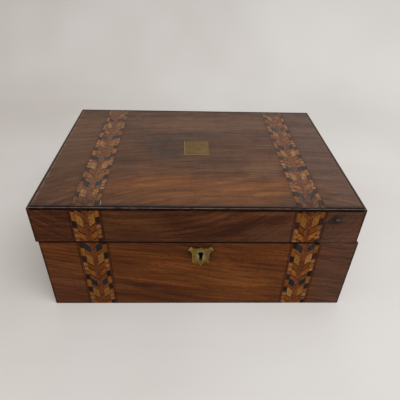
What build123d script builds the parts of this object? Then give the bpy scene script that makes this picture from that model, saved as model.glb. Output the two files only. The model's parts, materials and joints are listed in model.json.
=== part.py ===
from build123d import *
import math
import os

# A writing slope, closed. Millimetres. X runs along the lock side, Y from the lock side to the hinges and
# Z up. The origin is the middle of the base's underside. A slanted cut parts lid and base: it runs through
# the hinge pins at half the height, so that the opened lid lies flat and carries the slope on.

# Outside of the box
width = 350.0
depth = 252.0
height = 147.0
front_split = 101.0
lid_shift = -2.7
rim_gap = 0.4

# Boards, skins and trim
wall = 9.0
veneer = 1.0
top_thickness = 7.0
bottom_thickness = 6.0
facing = 1.2
corner_round = 0.8
bead = 3.0
bead_round = 1.8
bead_quirk = 0.25
band_width = 30.0
band_offset = 117.0
name_plate_width = 33.0
name_plate_length = 37.5
name_plate_thickness = 0.5
name_plate_x = -0.8
name_plate_y = 4.7

# Butt hinges of the lid
pin_out = 0.4
hinge_offset = 112.0
hinge_length = 40.0
hinge_reach = 8.5
hinge_knuckle = 2.4
hinge_pin = 1.1
hinge_knuckles = 5
screw_spacing = 13.0

# Box lock, its link plate and the escutcheon
key_x = 0.8
key_z = 84.6
keyhole_radius = 2.7
keyhole_slot = 3.4
keyhole_drop = 9.7
key_pin = 1.3
case_length = 56.0
case_depth = 7.5
case_height = 36.0
case_wall = 1.0
case_flange = 6.0
case_plate = 1.2
case_rib = 1.5
case_screw_low = 6.0
case_screw_high = 24.0
selvedge_length = 74.0
selvedge_width = 6.8
selvedge_margin = 2.0
loop_spacing = 28.0
loop_thickness = 2.5
loop_width = 4.4
loop_depth = 8.0
loop_eye = 3.0
loop_bar = 1.6
loop_round = 1.3
loop_gap = 0.45
bolt_travel = 4.0
bolt_thickness = 1.6
bolt_finger = 2.2
bolt_height = 4.2
bolt_length = 44.0
bolt_below_loops = 1.0
escutcheon_width = 29.6
escutcheon_thickness = 0.9

# Pen zone along the lock side
pen_zone = 48.0
divider_thickness = 6.0
cell_width = 46.0
partition_thickness = 5.0
partition_height = 84.0
platform_height = 24.0
ledge_height = 68.0
ledge_width = 5.0
ledge_thickness = 8.0
tray_height = 14.0
tray_floor = 5.0
tray_rim = 7.0
tray_end = 13.0
trough_end_flat = 2.0

# Inkwells
bottle_side = 40.0
bottle_height = 34.0
bottle_wall = 4.0
bottle_round = 3.0
shoulder_round = 2.5
ink_round = 2.0
neck_radius = 12.0
neck_bore = 9.0
neck_height = 5.0
collar_radius = 14.2
cap_rim = 1.6
cap_dome = 4.2
cap_gap = 0.3
cap_knuckle = 1.7
cap_pin = 0.8
cap_pin_out = 2.4
cap_knuckle_width = 3.8
cap_ear_width = 2.4
thumb_lip = 2.3
thumb_width = 6.0

# Writing flaps
recess = 2.0
flap_thickness = 5.8
leather = 0.8
leather_margin = 15.0
rail_width = 12.0
rail_thickness = 9.0
bearer_width = 6.0
button_rail_width = 9.0
flap_knuckle = 1.5
flap_pin = 0.6
flap_hinge_length = 24.0
flap_hinge_reach = 8.0
flap_hinge_knuckles = 3
flap_leaf = 0.9
base_flap_hinge_offset = 100.0
lid_flap_hinge_offset = 130.0

# Turn button on the lid's front rail
button_length = 14.0
button_width = 6.0
button_thickness = 1.0
button_setback = 4.0
button_screw = 0.9
button_screw_length = 9.0
button_screw_head = 1.9
button_head_depth = 0.4
button_screw_slot = 0.5

# Screws
screw_head = 2.0
screw_shank = 1.0
screw_length = 9.0
small_screw_head = 1.6
small_screw_shank = 0.8
small_screw_length = 6.5

# Fits
pocket_gap = 0.15
seat_gap = 0.05
moving_gap = 0.35
leaf_gap = 0.3
flap_gap = 0.7
flap_seat_gap = 0.2
screw_gap = 0.05
pin_gap = 0.05
fixed_pin_gap = 0.02
tray_gap = 0.4
overcut = 1.0

# Worked out from the sizes above
half_width = width / 2
half_depth = depth / 2
carcase_x = half_width - veneer
carcase_y = half_depth - veneer
inner_x = carcase_x - wall
inner_y = carcase_y - wall
pin_y = half_depth + pin_out
pin_z = height / 2
slope_angle = math.atan2(front_split - pin_z, pin_y + half_depth)
seat = rim_gap / 2 + facing
lid_ceiling = height - veneer - top_thickness
far = 2 * (width + depth + height)
to_slope = Location((0, pin_y, pin_z), (-math.degrees(slope_angle), 0, 0))
to_lid = Location((0, 0, 0), (180, 0, 0))


def block(x, y, z):
    """A box from the two ends it has along each axis, given in any order."""
    sizes = [abs(ends[1] - ends[0]) for ends in (x, y, z)]
    middles = [(ends[0] + ends[1]) / 2 for ends in (x, y, z)]
    return Pos(*middles) * Box(*sizes)


def bar(radius, x, y=0.0, z=0.0):
    """A round bar along X."""
    return Pos((x[0] + x[1]) / 2, y, z) * Rot(0, 90, 0) * Cylinder(radius, abs(x[1] - x[0]))


def about(middle, half):
    return (middle - half, middle + half)


def on_slope(shape):
    """Lay a shape on the cut plane: its origin goes to the hinge pins, its Y runs up the slope's fall."""
    return to_slope * shape


def base_part(shape, drop):
    """What lies at least this far below the cut plane."""
    return shape & on_slope(block((-far, far), (-far, far), (-far, -drop)))


def lid_part(shape, rise):
    """What lies at least this far above the cut plane."""
    return shape & on_slope(block((-far, far), (-far, far), (rise, far)))


def slope_y(y, n=0.0):
    """The distance along the slope of a point n above the cut plane at depth y."""
    return (y - pin_y - n * math.sin(slope_angle)) / math.cos(slope_angle)


def round_corner(shape, toward_x, toward_y):
    """Soften the upright edge that lies furthest towards the given corner."""
    upright = shape.edges().filter_by(Axis.Z)
    corner = upright.sort_by(lambda edge: toward_x * edge.center().X + toward_y * edge.center().Y)[-1]
    return fillet(corner, corner_round)


os.makedirs("parts", exist_ok=True)


def save(node, *shapes):
    solids = [solid for shape in shapes for solid in shape.solids()]
    whole = solids[0] if len(solids) == 1 else Compound(solids)
    export_step(whole, "parts/" + node + ".step")


# Screws point down from a flush head at the origin
def screw_profile(head, shank, length, gap):
    tip = length - 2 * shank
    outline = Polyline(
        (0, 0),
        (head + gap, 0),
        (shank + gap, shank - head),
        (shank + gap, -tip),
        (0, -length - gap),
        close=True,
    )
    return revolve(Plane.XZ * make_face(outline), Axis.Z)


def screw(head=screw_head, shank=screw_shank, length=screw_length):
    slot = block(about(0, head), about(0, head / 8), (-head / 4, head))
    return screw_profile(head, shank, length, 0) - slot


def screw_hole(head=screw_head, shank=screw_shank, length=screw_length):
    above = Pos(0, 0, head / 2) * Cylinder(head + screw_gap, head)
    return screw_profile(head, shank, length, screw_gap) + above


def small_screw():
    return screw(small_screw_head, small_screw_shank, small_screw_length)


def small_screw_hole():
    return screw_hole(small_screw_head, small_screw_shank, small_screw_length)


# Knuckles and leaves of a butt hinge, about its own pin
def knuckle_spans(length, count):
    pitch = length / count
    return [about((index + 0.5) * pitch - length / 2, (pitch - leaf_gap) / 2) for index in range(count)]


def hinge_leaf(spans, length, reach, n, knuckle, bore):
    root = math.copysign(knuckle + moving_gap, reach)
    leaf = block(about(0, length / 2), (root, reach), n)
    for span in spans:
        leaf += block(span, (0, root), n)
        leaf += bar(knuckle, span)
    return leaf - bar(bore, about(0, length))


# Lid hinges
hinge_xs = (-hinge_offset, hinge_offset)
hinge_spans = knuckle_spans(hinge_length, hinge_knuckles)
hinge_screw_t = -(pin_out + veneer + wall / 2)
hinge_screw_steps = (-screw_spacing, 0, screw_spacing)
hinge_screws = [(x + step, hinge_screw_t) for x in hinge_xs for step in hinge_screw_steps]


def hinge_room(side):
    """The space that leaves and knuckles take out of wood and veneer, below (-1) or above (1) the cut."""
    room = []
    for x in hinge_xs:
        ends = about(x, hinge_length / 2 + pocket_gap)
        room.append(block(ends, (-hinge_reach - pocket_gap, hinge_knuckle), (0, side * seat)))
        room.append(bar(hinge_knuckle + moving_gap, ends))
    return [on_slope(shape) for shape in room]


def rim_screws(make, side, places, n):
    """Screws or their holes at places on the rim, pointing away from the cut."""
    turn = Location((0, 0, 0)) if side < 0 else to_lid
    return [on_slope(Pos(x, t, side * n) * turn * make()) for x, t in places]


# Lock places, about the keyhole's line
case_out = -inner_y - case_depth
bolt_y = (case_out + case_wall - inner_y - case_plate) / 2
eye_n = -(loop_depth - loop_bar - loop_eye / 2)
lock_t = slope_y(bolt_y, eye_n)
loop_xs = [key_x + side * loop_spacing / 2 for side in (-1, 1)]
lock_screw_x = selvedge_length / 2 - small_screw_head - selvedge_margin
lock_rim_screws = [(key_x + side * lock_screw_x, lock_t) for side in (-1, 1)]
case_top = pin_z - slope_y(-inner_y) * math.sin(slope_angle)
case_bottom = case_top - case_height
flange_x = case_length / 2 + case_flange / 2
case_screw_zs = (case_bottom + case_screw_low, case_bottom + case_screw_high)
case_screws = [(key_x + side * flange_x, z) for side in (-1, 1) for z in case_screw_zs]
screw_into_front = Location((0, 0, 0), (-90, 0, 0))


def keyhole(y, gap=0.0):
    head = Rot(90, 0, 0) * Cylinder(keyhole_radius + gap, abs(y[1] - y[0]))
    slot = block(about(key_x, keyhole_slot / 2 + gap), y, (key_z - keyhole_drop - gap, key_z))
    return Pos(key_x, (y[0] + y[1]) / 2, key_z) * head + slot


def selvedge_room(side):
    ends = about(key_x, selvedge_length / 2 + pocket_gap)
    reach = about(lock_t, selvedge_width / 2 + pocket_gap)
    return on_slope(block(ends, reach, (0, side * (seat + seat_gap))))


def case_room():
    shell = about(key_x, case_length / 2 + pocket_gap)
    flange = about(key_x, case_length / 2 + case_flange + pocket_gap)
    z = (case_bottom - pocket_gap, height)
    deep = block(shell, (case_out - pocket_gap, -inner_y + overcut), z)
    shallow = block(flange, (-inner_y - case_plate, -inner_y + overcut), z)
    return deep + shallow


# Carcase boards
def boards(shift, z):
    return {
        "front": block(about(shift, carcase_x), (-carcase_y, -inner_y), z),
        "back": block(about(shift, carcase_x), (inner_y, carcase_y), z),
        "left": block((shift - carcase_x, shift - inner_x), about(0, inner_y), z),
        "right": block((shift + inner_x, shift + carcase_x), about(0, inner_y), z),
    }


base_boards = {name: base_part(board, seat) for name, board in boards(0, (0, height)).items()}
base_boards["front"] -= case_room()
base_boards["front"] -= keyhole((-half_depth, -inner_y), pocket_gap)
for hole in rim_screws(small_screw_hole, -1, lock_rim_screws, rim_gap / 2):
    base_boards["front"] -= hole
for x, z in case_screws:
    base_boards["front"] -= Pos(x, -inner_y, z) * screw_into_front * small_screw_hole()
for room in hinge_room(-1) + rim_screws(screw_hole, -1, hinge_screws, rim_gap / 2):
    base_boards["back"] -= room
for name, board in base_boards.items():
    save("base_" + name + "_board", board)
save("base_bottom_board", block(about(0, inner_x), about(0, inner_y), (0, bottom_thickness)))

lid_boards = {name: lid_part(board, seat) for name, board in boards(lid_shift, (0, lid_ceiling)).items()}
for hole in rim_screws(small_screw_hole, 1, lock_rim_screws, rim_gap / 2):
    lid_boards["front"] -= hole
for room in hinge_room(1) + rim_screws(screw_hole, 1, hinge_screws, rim_gap / 2):
    lid_boards["back"] -= room
for name, board in lid_boards.items():
    save("lid_" + name + "_board", board)
bead_bottom = height - bead
field_x = half_width - bead - bead_quirk
field_y = half_depth - bead - bead_quirk
lid_top = block(about(lid_shift, carcase_x), about(0, carcase_y), (lid_ceiling, bead_bottom))
lid_top += block(about(lid_shift, field_x), about(0, field_y), (bead_bottom, height - veneer))
save("lid_top_board", lid_top)


# Facings that cover the carcase's edges on both rims, inside the outer veneers
def rim_facing(shift, side):
    ring = block(about(shift, carcase_x), about(0, carcase_y), (0, height))
    ring -= block(about(shift, inner_x), about(0, inner_y), (0, height))
    ring &= on_slope(block((-far, far), (-far, far), (side * rim_gap / 2, side * seat)))
    for room in hinge_room(side):
        ring -= room
    return ring - selvedge_room(side)


save("base_rim_facing", rim_facing(0, -1))
save("lid_rim_facing", rim_facing(lid_shift, 1))


# Veneers: the front ones leave room for the two bands and wrap the side ones' edges
def band_spans(shift):
    return [about(shift + side * band_offset, band_width / 2) for side in (-1, 1)]


def field_spans(shift, half):
    left, right = band_spans(shift)
    return [(shift - half, left[0]), (left[1], right[0]), (right[1], shift + half)]


def front_veneers(shift, z):
    spans = field_spans(shift, half_width)
    left, middle, right = [block(span, (-half_depth, -carcase_y), z) for span in spans]
    return [round_corner(left, -1, -1), middle, round_corner(right, 1, -1)]


def side_veneers(shift, z):
    spans = [(shift + side * carcase_x, shift + side * half_width) for side in (-1, 1)]
    sides = [block(span, about(0, carcase_y), z) for span in spans]
    back = block(about(shift, half_width), (carcase_y, half_depth), z)
    return sides, round_corner(round_corner(back, -1, 1), 1, 1)


def bands(shift, y, z):
    return [block(span, y, z) for span in band_spans(shift)]


base_z = (0, height)
lid_z = (0, bead_bottom - bead_quirk)
base_front_veneers = [base_part(field, rim_gap / 2) for field in front_veneers(0, base_z)]
base_front_veneers[1] -= keyhole((-half_depth, -carcase_y), pocket_gap)
save("base_front_veneer", *base_front_veneers)
base_sides, base_back = side_veneers(0, base_z)
save("base_side_veneers", *[base_part(side, rim_gap / 2) for side in base_sides])
base_back = base_part(base_back, rim_gap / 2)
for room in hinge_room(-1):
    base_back -= room
save("base_back_veneer", base_back)
front_skin = (-half_depth, -carcase_y)
save("base_front_bands", *[base_part(band, rim_gap / 2) for band in bands(0, front_skin, base_z)])

save("lid_front_veneer", *[lid_part(field, rim_gap / 2) for field in front_veneers(lid_shift, lid_z)])
lid_sides, lid_back = side_veneers(lid_shift, lid_z)
save("lid_side_veneers", *[lid_part(side, rim_gap / 2) for side in lid_sides])
lid_back = lid_part(lid_back, rim_gap / 2)
for room in hinge_room(1):
    lid_back -= room
save("lid_back_veneer", lid_back)
save("lid_front_bands", *[lid_part(band, rim_gap / 2) for band in bands(lid_shift, front_skin, lid_z)])
top_skin = (height - veneer, height)
top_spans = field_spans(lid_shift, field_x)
save("lid_top_veneer", *[block(span, about(0, field_y), top_skin) for span in top_spans])
save("lid_top_bands", *bands(lid_shift, about(0, field_y), top_skin))

# Bead round the lid's top edge
bead_ring = block(about(lid_shift, half_width), about(0, half_depth), (bead_bottom, height))
bead_ring = fillet(bead_ring.edges().filter_by(Axis.Z), corner_round)
bead_ring = fillet(bead_ring.faces().sort_by(Axis.Z)[-1].edges(), bead_round)
bead_ring -= block(about(lid_shift, half_width - bead), about(0, half_depth - bead), (0, height))
save("lid_edge_bead", bead_ring)

# Plain brass plate on the lid
plate_x = about(lid_shift + name_plate_x, name_plate_width / 2)
plate_y = about(name_plate_y, name_plate_length / 2)
save("name_plate", block(plate_x, plate_y, (height, height + name_plate_thickness)))

# Lid hinges
base_leaf_n = (-rim_gap / 2, -seat)
lid_leaf_n = (rim_gap / 2, seat)
base_bore = hinge_pin + fixed_pin_gap
lid_bore = hinge_pin + pin_gap
base_leaf = hinge_leaf(hinge_spans[0::2], hinge_length, -hinge_reach, base_leaf_n, hinge_knuckle, base_bore)
lid_leaf = hinge_leaf(hinge_spans[1::2], hinge_length, -hinge_reach, lid_leaf_n, hinge_knuckle, lid_bore)
base_leaves = [on_slope(Pos(x, 0, 0) * base_leaf) for x in hinge_xs]
lid_leaves = [on_slope(Pos(x, 0, 0) * lid_leaf) for x in hinge_xs]
for hole in rim_screws(screw_hole, -1, hinge_screws, rim_gap / 2):
    base_leaves = [leaf - hole for leaf in base_leaves]
for hole in rim_screws(screw_hole, 1, hinge_screws, rim_gap / 2):
    lid_leaves = [leaf - hole for leaf in lid_leaves]
save("base_hinge_leaves", *base_leaves)
save("lid_hinge_leaves", *lid_leaves)
save("hinge_pins", *[on_slope(bar(hinge_pin, about(x, hinge_length / 2))) for x in hinge_xs])
save("base_hinge_screws", *rim_screws(screw, -1, hinge_screws, rim_gap / 2))
save("lid_hinge_screws", *rim_screws(screw, 1, hinge_screws, rim_gap / 2))

# Lock case: a back plate flush with the front board's inside, a shell let into the board and the key pin
plate_span = about(key_x, case_length / 2 + case_flange)
shell_span = about(key_x, case_length / 2)
hollow_span = about(key_x, case_length / 2 - case_wall)
case = block(plate_span, (-inner_y - case_plate, -inner_y), (case_bottom, height))
case += block(shell_span, (case_out, -inner_y), (case_bottom, height))
hollow_y = (case_out + case_wall, -inner_y - case_plate)
hollow = block(hollow_span, hollow_y, (case_bottom + case_wall, height))
case = base_part(case - hollow, seat)
case -= keyhole((case_out, case_out + case_wall))
case += Pos(key_x, -(carcase_y + inner_y) / 2, key_z) * Rot(90, 0, 0) * Cylinder(key_pin, wall)
bolt_top = -(loop_depth + bolt_below_loops)
bolt_bottom = bolt_top - bolt_height
rib_n = (bolt_bottom - leaf_gap, bolt_bottom - leaf_gap - case_rib)
for side in (-1, 1):
    rib_x = (key_x + side * bolt_length / 4, key_x + side * bolt_length / 2)
    rib = on_slope(block(rib_x, about(lock_t, case_depth), rib_n))
    case += rib & hollow
for x, z in case_screws:
    case -= Pos(x, -inner_y, z) * screw_into_front * small_screw_hole()
save("lock_case", case)

# Selvedge with two slots, and the link plate whose loops drop through them
selvedge_x = about(key_x, selvedge_length / 2)
selvedge_y = about(lock_t, selvedge_width / 2)
selvedge = block(selvedge_x, selvedge_y, (-rim_gap / 2, -seat))
link = block(selvedge_x, selvedge_y, (rim_gap / 2, seat))
for x in loop_xs:
    slot_x = about(x, loop_thickness / 2 + loop_gap)
    slot_y = about(lock_t, loop_width / 2 + loop_gap)
    selvedge -= block(slot_x, slot_y, (0, -2 * seat))
    loop = block(about(x, loop_thickness / 2), about(lock_t, loop_width / 2), (rim_gap / 2, -loop_depth))
    loop = fillet(loop.edges().filter_by(Axis.X).group_by(Axis.Z)[0], loop_round)
    eye_y = about(lock_t, bolt_thickness / 2 + moving_gap)
    eye = block(about(x, loop_thickness), eye_y, about(eye_n, loop_eye / 2))
    link += loop - eye
selvedge = on_slope(selvedge)
link = on_slope(link)
for hole in rim_screws(small_screw_hole, -1, lock_rim_screws, rim_gap / 2):
    selvedge -= hole
for hole in rim_screws(small_screw_hole, 1, lock_rim_screws, rim_gap / 2):
    link -= hole
save("lock_selvedge", selvedge)
save("link_plate", link)
lock_screws = rim_screws(small_screw, -1, lock_rim_screws, rim_gap / 2)
lock_screws += [Pos(x, -inner_y, z) * screw_into_front * small_screw() for x, z in case_screws]
save("lock_screws", *lock_screws)
save("link_plate_screws", *rim_screws(small_screw, 1, lock_rim_screws, rim_gap / 2))

# Bolt: a bar below the loops with two fingers that reach through their eyes when it slides
bolt_t = about(lock_t, bolt_thickness / 2)
bolt = block(about(key_x - bolt_travel / 2, bolt_length / 2), bolt_t, (bolt_bottom, bolt_top))
finger_n = about(eye_n, bolt_finger / 2)
for x in loop_xs:
    tip = x - loop_thickness / 2 - moving_gap
    root = tip - bolt_travel - leaf_gap
    bolt += block((root - bolt_finger, tip), bolt_t, finger_n)
    bolt += block((root - bolt_finger, root), bolt_t, (bolt_bottom, finger_n[1]))
save("lock_bolt", on_slope(bolt))


# Shield escutcheon, drawn from the keyhole's centre in shares of half its width
def shield_point(across, up):
    return (across * escutcheon_width / 2, up * escutcheon_width / 2)


crest = shield_point(0, 0.65)
crest_foot = shield_point(0.19, 0.55)
notch = shield_point(0.57, 0.55)
horn = shield_point(0.74, 0.72)
shoulder = shield_point(1.0, 0.38)
waist = shield_point(0.66, -0.18)
hip = shield_point(0.66, -0.81)
lobe_end = shield_point(0.34, -0.95)
point = shield_point(0, -1.24)
shield_right = [
    ThreePointArc(crest, shield_point(0.11, 0.62), crest_foot),
    Line(crest_foot, notch),
    Line(notch, horn),
    Line(horn, shoulder),
    ThreePointArc(shoulder, shield_point(0.74, 0.16), waist),
    Line(waist, hip),
    ThreePointArc(hip, shield_point(0.53, -0.97), lobe_end),
    ThreePointArc(lobe_end, shield_point(0.15, -1.05), point),
]
shield_left = [mirror(edge, Plane.YZ) for edge in shield_right]
shield = make_face(shield_right + shield_left)
shield = extrude(Plane.XZ * shield, escutcheon_thickness)
shield = Pos(key_x, -half_depth, key_z) * shield
outside = (-half_depth - escutcheon_thickness, -half_depth)
save("escutcheon", shield - keyhole(outside))

# Pen zone: divider, partitions, platforms, ledges and the lift-out tray
floor = bottom_thickness
zone_back = pen_zone - inner_y
zone_y = (-inner_y, zone_back)
divider = block(about(0, inner_x), (zone_back, zone_back + divider_thickness), (floor, height))
save("compartment_divider", base_part(divider, recess + flap_thickness + flap_seat_gap))
cell_edge = inner_x - cell_width
partition_in = cell_edge - partition_thickness
ledge_in = partition_in - ledge_width
sides = (-1, 1)
partitions = [block((s * partition_in, s * cell_edge), zone_y, (floor, partition_height)) for s in sides]
save("inkwell_partitions", *partitions)
platforms = [block((s * cell_edge, s * inner_x), zone_y, (floor, platform_height)) for s in sides]
save("inkwell_platforms", *platforms)
ledge_z = (ledge_height - ledge_thickness, ledge_height)
save("pen_tray_ledges", *[block((s * partition_in, s * ledge_in), zone_y, ledge_z) for s in sides])
tray_x = about(0, partition_in - tray_gap)
tray_y = (-inner_y + tray_gap, zone_back - tray_gap)
tray = block(tray_x, tray_y, (ledge_height, ledge_height + tray_height))
trough_x = about(0, tray_x[1] - tray_end)
trough_y = (tray_y[0] + tray_rim, tray_y[1] - tray_rim)
trough = block(trough_x, trough_y, (ledge_height + tray_floor, height))
trough_round = (trough_y[1] - trough_y[0] - trough_end_flat) / 2
trough = fillet(trough.edges().filter_by(Axis.Z), trough_round)
trough = fillet(trough.faces().sort_by(Axis.Z)[0].edges(), tray_floor)
save("pen_tray", tray - trough)

# Inkwells, each modelled at its own origin: a square bottle, a brass collar with ears, a cap and its pin
bottle = block(about(0, bottle_side / 2), about(0, bottle_side / 2), (0, bottle_height))
bottle = fillet(bottle.edges().filter_by(Axis.Z), bottle_round)
bottle = fillet(bottle.faces().sort_by(Axis.Z)[-1].edges(), shoulder_round)
bottle += Pos(0, 0, bottle_height + neck_height / 2) * Cylinder(neck_radius, neck_height)
ink_half = bottle_side / 2 - bottle_wall
ink_space = block(about(0, ink_half), about(0, ink_half), (bottle_wall, bottle_height - bottle_wall))
bottle -= fillet(ink_space.edges(), ink_round)
bottle -= Pos(0, 0, bottle_height) * Cylinder(neck_bore, 2 * (bottle_wall + neck_height))

cap_y = -(collar_radius + cap_pin_out)
cap_under = bottle_height + neck_height + cap_gap
ear_in = cap_knuckle_width / 2 + leaf_gap
ear_out = ear_in + cap_ear_width
collar = Pos(0, 0, bottle_height + neck_height / 2) * Cylinder(collar_radius, neck_height)
for side in (-1, 1):
    ear = (side * ear_in, side * ear_out)
    collar += block(ear, (cap_y, -neck_radius), (bottle_height + neck_height / 2, cap_under - 2 * cap_gap))
    collar += bar(cap_knuckle, ear, cap_y, cap_under)
collar -= Pos(0, 0, bottle_height + neck_height) * Cylinder(neck_radius + screw_gap, 4 * neck_height)
collar -= bar(cap_pin + fixed_pin_gap, about(0, 2 * ear_out), cap_y, cap_under)

cap_rise = cap_dome - cap_rim
cap_ball = (collar_radius**2 + cap_rise**2) / (2 * cap_rise)
cap_half = (collar_radius / 2, cap_dome - cap_ball + math.sqrt(cap_ball**2 - collar_radius**2 / 4))
dome = [
    Line((0, 0), (collar_radius, 0)),
    Line((collar_radius, 0), (collar_radius, cap_rim)),
    ThreePointArc((collar_radius, cap_rim), cap_half, (0, cap_dome)),
    Line((0, cap_dome), (0, 0)),
]
cap = revolve(Plane.XZ * make_face(dome), Axis.Z)
cap += block(about(0, cap_knuckle_width / 2), (cap_y, -collar_radius / 2), (0, cap_rim))
cap += bar(cap_knuckle, about(0, cap_knuckle_width / 2), cap_y)
cap += block(about(0, thumb_width / 2), (0, collar_radius + thumb_lip), (0, cap_rim))
cap -= bar(cap_pin + pin_gap, about(0, 2 * ear_out), cap_y)
cap = Pos(0, 0, cap_under) * cap
pin = bar(cap_pin, about(0, ear_out), cap_y, cap_under)

inkwell_y = (-inner_y + zone_back) / 2
inkwell_at = [Pos(s * (inner_x - cell_width / 2), inkwell_y, platform_height) for s in sides]
save("left_inkwell", inkwell_at[0] * bottle)
save("right_inkwell", inkwell_at[1] * bottle)
save("inkwell_collars", *[place * collar for place in inkwell_at])
save("inkwell_cap_pins", *[place * pin for place in inkwell_at])
save("left_inkwell_cap", inkwell_at[0] * cap)
save("right_inkwell_cap", inkwell_at[1] * cap)

# Writing flaps: side -1 is the base's, below the cut, and 1 the lid's, above it
flap_axis = -(pin_out + veneer + wall + rail_width)
flap_spans = knuckle_spans(flap_hinge_length, flap_hinge_knuckles)


def cavity(shift):
    return block(about(shift, inner_x), about(0, inner_y), (0, lid_ceiling))


def flap_hinge_room(xs, side):
    room = []
    for x in xs:
        ends = about(x, flap_hinge_length / 2 + pocket_gap)
        reach = about(flap_axis, flap_hinge_reach + pocket_gap)
        room.append(block(ends, reach, (0, side * (recess + flap_leaf))))
        room.append(bar(flap_knuckle + moving_gap, ends, flap_axis, side * recess))
    return room


def flap(shift, side, front, xs):
    """The board, its leather and the moving leaves of one flap, on the slope."""
    half = inner_x - flap_gap
    reach = (front, flap_axis - moving_gap)
    board = block(about(shift, half), reach, (side * recess, side * (recess + flap_thickness)))
    for room in flap_hinge_room(xs, side):
        board -= room
    inset_x = about(shift, half - leather_margin)
    inset_y = (front + leather_margin, reach[1] - leather_margin)
    skin = (side * recess, side * (recess + leather))
    board -= block(inset_x, inset_y, skin)
    inner = (inset_y[0] + pocket_gap, inset_y[1] - pocket_gap)
    writing = block(about(shift, half - leather_margin - pocket_gap), inner, skin)
    leaf_n = (0, side * flap_leaf)
    bore = flap_pin + pin_gap
    leaf = hinge_leaf(flap_spans[1::2], flap_hinge_length, -flap_hinge_reach, leaf_n, flap_knuckle, bore)
    leaves = [Pos(x, flap_axis, side * recess) * leaf for x in xs]
    return on_slope(board), on_slope(writing), [on_slope(shape) for shape in leaves]


def flap_frame(shift, side, front, xs):
    """Hinge rail, side bearers and the fixed leaves with their pins, on the slope."""
    rail = block((-far, far), (flap_axis + moving_gap, 0), (side * recess, side * (recess + rail_thickness)))
    for room in flap_hinge_room(xs, side):
        rail -= room
    bearer_n = recess + flap_thickness + flap_seat_gap
    bearer_y = (front, flap_axis + moving_gap)
    frame = [on_slope(rail) & cavity(shift)]
    for end in (-1, 1):
        bearer_x = (shift + end * (inner_x - bearer_width), shift + end * far)
        bearer = block(bearer_x, bearer_y, (side * bearer_n, side * (bearer_n + bearer_width)))
        frame.append(on_slope(bearer) & cavity(shift))
    leaf_n = (0, side * flap_leaf)
    bore = flap_pin + fixed_pin_gap
    leaf = hinge_leaf(flap_spans[0::2], flap_hinge_length, flap_hinge_reach, leaf_n, flap_knuckle, bore)
    metal = []
    for x in xs:
        place = Pos(x, flap_axis, side * recess)
        metal.append(on_slope(place * leaf))
        metal.append(on_slope(place * bar(flap_pin, about(0, flap_hinge_length / 2))))
    return frame, metal


base_flap_front = slope_y(zone_back) + flap_seat_gap
base_flap_xs = (-base_flap_hinge_offset, base_flap_hinge_offset)
board, writing, leaves = flap(0, -1, base_flap_front, base_flap_xs)
save("base_flap_board", board)
save("base_flap_leather", writing)
save("base_flap_moving_leaves", *leaves)
bearer_start = slope_y(zone_back + divider_thickness)
frame, metal = flap_frame(0, -1, bearer_start, base_flap_xs)
behind_divider = block(about(0, far), (zone_back + divider_thickness, far), (0, far))
save("base_flap_bearers", *[piece & behind_divider for piece in frame])
save("base_flap_fixed_leaves", *metal)

lid_flap_front = slope_y(button_rail_width - inner_y) + flap_gap
lid_flap_xs = (lid_shift - lid_flap_hinge_offset, lid_shift + lid_flap_hinge_offset)
board, writing, leaves = flap(lid_shift, 1, lid_flap_front, lid_flap_xs)
save("lid_flap_board", board)
save("lid_flap_leather", writing)
save("lid_flap_moving_leaves", *leaves)
frame, metal = flap_frame(lid_shift, 1, lid_flap_front - flap_gap, lid_flap_xs)
button_at = (lid_shift, lid_flap_front - flap_gap - button_setback)
button_rail = block((-far, far), (-far, lid_flap_front - flap_gap), (recess, recess + rail_thickness))
button_under = recess - leaf_gap - button_thickness
button_rail -= Pos(*button_at, recess) * Cylinder(button_screw + screw_gap, 2 * button_screw_length)
frame.append(on_slope(button_rail) & cavity(lid_shift))
save("lid_flap_bearers", *frame)
save("lid_flap_fixed_leaves", *metal)

# Turn button, pivoted near one end so that it clears the lid's front board, and its screw
button_middle = (button_length - button_width) / 2
button = Pos(button_middle, 0, 0) * extrude(SlotOverall(button_length, button_width), button_thickness)
button -= Cylinder(button_screw + pin_gap, 4 * button_thickness)
save("turn_button", on_slope(Pos(*button_at, button_under) * button))
turn_screw = Pos(0, 0, -button_head_depth / 2 - pin_gap) * Cylinder(button_screw_head, button_head_depth)
turn_screw += Pos(0, 0, button_screw_length / 2 - pin_gap) * Cylinder(button_screw, button_screw_length)
slot_z = (-button_head_depth, -button_head_depth - overcut)
turn_screw -= block(about(0, button_screw_head), about(0, button_screw_slot / 2), slot_z)
save("turn_button_screw", on_slope(Pos(*button_at, button_under) * turn_screw))
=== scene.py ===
# %% [markdown]
# # A Victorian writing slope
# The box is a closed desk: a walnut case sawn apart on a slant, so that the opened lid and the base make one
# long slope to write on. The CAD frame already holds every board, hinge and lock part in its place. This
# lesson adds what a frame lacks: the chip-by-chip parquetry, the leather, and the finish of each surface.
# Everything is in metres, and the origin is the middle of the base's underside.
# %% Load the frame
import json
import math
import random

import bmesh
import bpy
from mathutils import Matrix, Vector

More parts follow.
